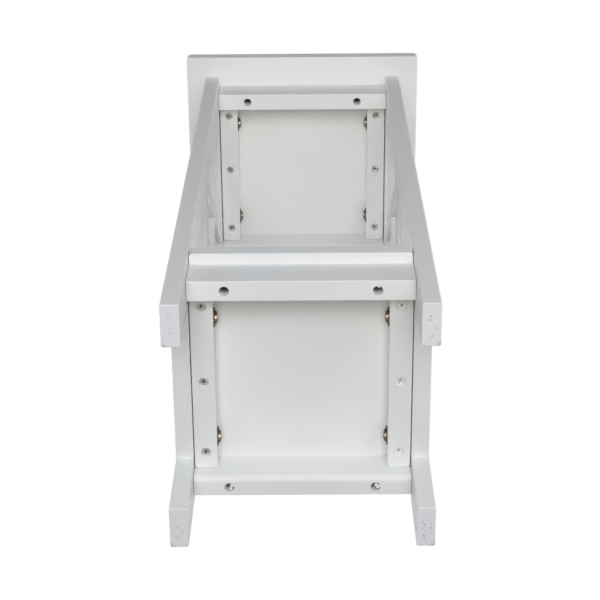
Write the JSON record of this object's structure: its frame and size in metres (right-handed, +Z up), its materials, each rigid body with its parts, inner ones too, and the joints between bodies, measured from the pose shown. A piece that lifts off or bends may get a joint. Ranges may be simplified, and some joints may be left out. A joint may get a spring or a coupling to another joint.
{
  "type": "plant stand",
  "caption": "Tall square painted wooden plant stand with an overhanging top board, a low shelf, aprons, bolted cleats, and side frames with half-lapped crossed braces.",
  "frame": {"origin": "on the floor, under the centre of the stand", "axes": "+X to the stand's right as seen from the front, -Y to the front, +Z up"},
  "size_m": [0.305, 0.309, 0.762],
  "materials": {
    "painted_wood": "smooth low-sheen white paint over solid wood",
    "painted_screws": "steel screws painted over in the same satin white",
    "zinc_steel": "bright zinc-plated steel",
    "yellow_zinc_steel": "yellow zinc-plated steel",
    "beech": "bare beech dowel rod"
  },
  "bodies": {
    "root": {"top_board": "painted_wood", "shelf_board": "painted_wood", "top_front_apron": "painted_wood", "top_rear_apron": "painted_wood", "shelf_front_apron": "painted_wood", "shelf_rear_apron": "painted_wood", "top_left_cleat": "painted_wood", "top_right_cleat": "painted_wood", "shelf_left_cleat": "painted_wood", "shelf_right_cleat": "painted_wood", "front_left_leg": "painted_wood", "front_right_leg": "painted_wood", "rear_left_leg": "painted_wood", "rear_right_leg": "painted_wood", "left_top_rail": "painted_wood", "left_middle_rail": "painted_wood", "left_bottom_rail": "painted_wood", "right_top_rail": "painted_wood", "right_middle_rail": "painted_wood", "right_bottom_rail": "painted_wood", "left_upper_brace_rising": "painted_wood", "left_upper_brace_falling": "painted_wood", "left_lower_brace_rising": "painted_wood", "left_lower_brace_falling": "painted_wood", "right_upper_brace_rising": "painted_wood", "right_upper_brace_falling": "painted_wood", "right_lower_brace_rising": "painted_wood", "right_lower_brace_falling": "painted_wood", "top_cleat_screws": "painted_screws", "shelf_cleat_screws": "painted_screws", "top_apron_screws": "zinc_steel", "shelf_apron_screws": "zinc_steel", "left_inserts": "zinc_steel", "right_inserts": "zinc_steel", "left_bolts": "yellow_zinc_steel", "right_bolts": "yellow_zinc_steel", "left_washers": "yellow_zinc_steel", "right_washers": "yellow_zinc_steel", "left_dowels": "beech", "right_dowels": "beech"}
  },
  "joints": []
}
